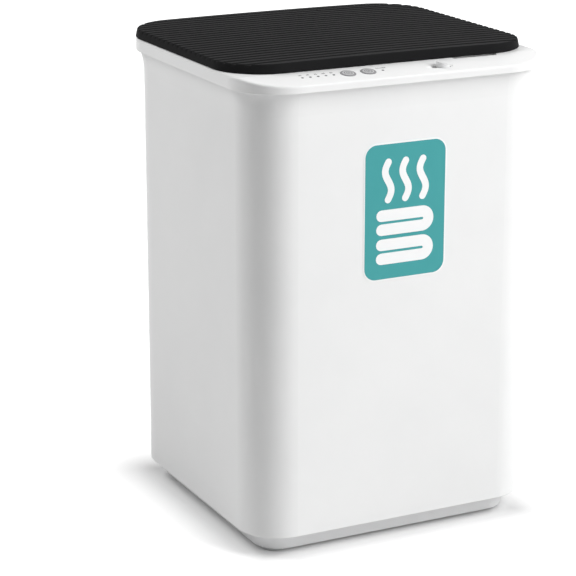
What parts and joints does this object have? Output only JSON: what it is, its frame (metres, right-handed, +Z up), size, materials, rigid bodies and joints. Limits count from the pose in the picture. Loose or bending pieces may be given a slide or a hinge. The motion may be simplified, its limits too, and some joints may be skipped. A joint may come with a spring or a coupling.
{
  "type": "towel warmer bucket",
  "caption": "Free-standing heated towel bucket: rounded white housing, ribbed charcoal lid on a rear hinge, sloping deck with push buttons, lights and a slide latch.",
  "frame": {"origin": "centre of the bounding box at floor level, under the feet", "axes": "+Z up, -Y towards the user: the control deck and the lid's free edge; the hinge is at +Y, and +X is to the right of someone who faces the deck"},
  "size_m": [0.3146, 0.2976, 0.4631],
  "materials": {
    "white_shell": "satin moulded plastic, white",
    "white_rim": "satin moulded plastic, white",
    "grey_base": "matte moulded plastic, light grey",
    "charcoal_lid": "fine matte texture, charcoal",
    "dark_liner": "matte moulded plastic, dark grey",
    "grey_button": "satin plastic, mid grey",
    "grey_knob": "satin plastic, light grey",
    "inner_plastic": "plain moulded plastic",
    "bucket_aluminium": "drawn and satin",
    "rubber_black": "matte",
    "silicone_grey": "matte silicone",
    "zinc_steel": "zinc plated",
    "spring_steel": "bright",
    "heater_foil": "silicone heater mat, orange-brown",
    "felt": "ceramic fibre felt",
    "board_green": "circuit board",
    "component_black": "moulded case",
    "component_blue": "moulded case",
    "lens_clear": "translucent diffuser",
    "wire_jacket": "flexible jacket",
    "fuse_glass": "clear tube"
  },
  "bodies": {
    "housing": {"outer_shell": "white_shell", "base_tray": "grey_base", "rubber_feet": "rubber_black", "base_screws": "zinc_steel", "top_rim": "white_rim", "rim_screws": "zinc_steel", "inner_bucket": "bucket_aluminium", "bucket_seal": "silicone_grey", "heater_band": "heater_foil", "insulation_wrap": "felt", "bottom_pad": "felt", "thermostat": "component_black", "thermostat_clamp": "spring_steel", "clamp_nuts": "zinc_steel", "thermal_fuse": "fuse_glass", "fuse_clip": "spring_steel", "control_board": "board_green", "control_screws": "zinc_steel", "tact_switches": "component_black", "indicator_leds": "lens_clear", "light_guides": "lens_clear", "power_board": "board_green", "power_screws": "zinc_steel", "power_relay": "component_blue", "supply_module": "component_black", "filter_capacitor": "component_blue", "mains_fuse": "fuse_glass", "terminal_block": "inner_plastic", "cable_plugs": "inner_plastic", "control_cable": "wire_jacket", "heater_leads": "wire_jacket", "cord_gland": "rubber_black", "gland_nut": "inner_plastic", "latch_guide": "inner_plastic", "guide_screws": "zinc_steel"},
    "lid": {"lid_cover": "charcoal_lid", "lid_liner": "dark_liner", "lid_gasket": "silicone_grey", "lid_insulation": "felt", "lid_screws": "zinc_steel", "lid_strike": "dark_liner", "strike_screws": "zinc_steel", "hinge_pins": "spring_steel"},
    "power_button": {"power_button": "grey_button"},
    "timer_button": {"timer_button": "grey_button"},
    "latch": {"latch_knob": "grey_knob", "latch_bar": "inner_plastic", "latch_screw": "zinc_steel"}
  },
  "joints": [
    {"name": "lid_hinge", "type": "hinge", "parent": "housing", "child": "lid", "pos_m": [0, 0.1453, 0.4578], "axis": [-1, 0, 0], "range_deg": [0, 95]},
    {"name": "power_button_press", "type": "slide", "parent": "housing", "child": "power_button", "axis": [0, 0.1564, -0.9877], "range_m": [0, 0.0007], "stiffness_N_per_m": 500, "springref_m": -0.001},
    {"name": "timer_button_press", "type": "slide", "parent": "housing", "child": "timer_button", "axis": [0, 0.1564, -0.9877], "range_m": [0, 0.0007], "stiffness_N_per_m": 500, "springref_m": -0.001},
    {"name": "latch_slide", "type": "slide", "parent": "housing", "child": "latch", "axis": [-1, 0, 0], "range_m": [0, 0.007]}
  ]
}
